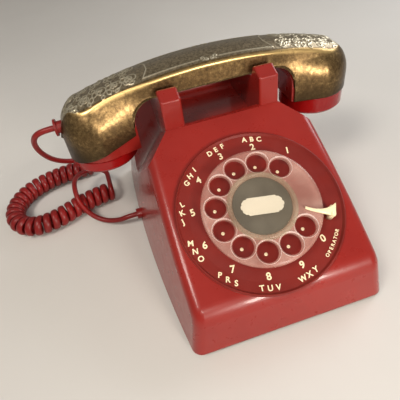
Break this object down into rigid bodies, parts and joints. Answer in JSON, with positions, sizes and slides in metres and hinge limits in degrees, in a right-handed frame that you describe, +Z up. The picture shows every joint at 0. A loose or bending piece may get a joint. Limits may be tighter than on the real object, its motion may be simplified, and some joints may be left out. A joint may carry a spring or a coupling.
{
  "type": "corded rotary desk telephone",
  "caption": "Desk telephone with a wedge housing, rotary dial with clear finger wheel, handset with an ornamental brass cover resting in a cradle, and a curly cord",
  "frame": {"origin": "bottom centre of the telephone without its cord, on the surface that the feet stand on", "axes": "+X to the right along the handset, -Y out of the front with the dial, +Z up"},
  "size_m": [0.296, 0.2493, 0.1275],
  "materials": {
    "housing_red": "glossy moulded red",
    "plate_red": "satin brown red",
    "clear_plastic": "hazy clear",
    "cream": "glossy cream",
    "card_grey": "matte grey card",
    "cover_brass": "antique patinated",
    "cap_red": "glossy deep red",
    "cord_red": "satin red",
    "steel": "plated steel",
    "gong_metal": "bright",
    "foot_rubber": "matte black",
    "black_plastic": "matte black",
    "copper": "enamelled copper winding"
  },
  "bodies": {
    "base": {"base_plate": "steel", "rubber_feet": "foot_rubber", "housing": "housing_red", "housing_screws": "steel", "network_block": "black_plastic", "network_terminals": "gong_metal", "ringer_frame": "steel", "ringer_coil": "copper", "ringer_gong_left": "gong_metal", "ringer_gong_right": "gong_metal", "gong_screws": "steel", "number_plate": "plate_red", "dial_frame": "steel", "dial_screws": "steel", "dial_brackets": "steel", "finger_stop": "cream", "governor_cup": "steel", "return_spring": "steel", "pulse_springs": "black_plastic", "hookswitch_bracket": "steel", "hookswitch_contacts": "black_plastic", "base_cord_bush": "cord_red", "line_inlet_grommet": "black_plastic", "handset_cord_coil": "cord_red", "cord_base_tail": "cord_red", "cord_handset_tail": "cord_red"},
    "finger_wheel": {"finger_wheel": "clear_plastic", "number_card": "card_grey", "card_retainer": "clear_plastic", "wheel_screw": "steel", "dial_shaft": "steel", "main_gear": "gong_metal"},
    "governor": {"governor_rotor": "gong_metal", "governor_weights": "steel"},
    "hook_plungers": {"plunger_left": "clear_plastic", "plunger_right": "clear_plastic"},
    "hook_lever": {"hook_lever": "steel"},
    "handset": {"handset_handle": "housing_red", "handset_cover": "cover_brass", "transmitter_cap": "cap_red", "receiver_cap": "cap_red", "transmitter_unit": "black_plastic", "receiver_unit": "black_plastic", "transmitter_cup": "black_plastic", "handset_cord_bush": "cord_red"},
    "clapper": {"clapper": "steel"},
    "ringer_volume_wheel": {"ringer_volume_wheel": "black_plastic"}
  },
  "joints": [
    {"name": "handset_lift", "type": "slide", "parent": "base", "child": "handset", "axis": [0, 0, 1], "range_m": [0, 0.09]},
    {"name": "plunger_travel", "type": "slide", "parent": "base", "child": "hook_plungers", "axis": [0, 0, 1], "range_m": [0, 0.0061]},
    {"name": "hook_lever_swing", "type": "hinge", "parent": "base", "child": "hook_lever", "pos_m": [0, 0.066, 0.066], "axis": [-1, 0, 0], "range_deg": [0, 13.1]},
    {"name": "finger_wheel_turn", "type": "hinge", "parent": "base", "child": "finger_wheel", "pos_m": [0, -0.0565, 0.067], "axis": [0, 0.4695, -0.8829], "range_deg": [0, 320], "stiffness_Nm_per_rad": 0.005},
    {"name": "governor_spin", "type": "hinge", "parent": "base", "child": "governor", "pos_m": [0, -0.02357, 0.05619], "axis": [0, 0.4695, -0.8829], "range_deg": [-1290, 10]},
    {"name": "clapper_swing", "type": "hinge", "parent": "base", "child": "clapper", "pos_m": [0, 0.026, 0.023], "axis": [0, 0, 1], "range_deg": [-3.2, 3.2]},
    {"name": "ringer_volume_turn", "type": "hinge", "parent": "base", "child": "ringer_volume_wheel", "pos_m": [0.048, 0.024, 0.0115], "axis": [1, 0, 0], "range_deg": [-45, 45]}
  ],
  "couplings": [
    {"joint": "plunger_travel", "follows": "handset_lift", "ratio": 0.0667},
    {"joint": "hook_lever_swing", "follows": "handset_lift", "rad_per_m": 2.52},
    {"joint": "governor_spin", "follows": "finger_wheel_turn", "ratio": -4}
  ]
}
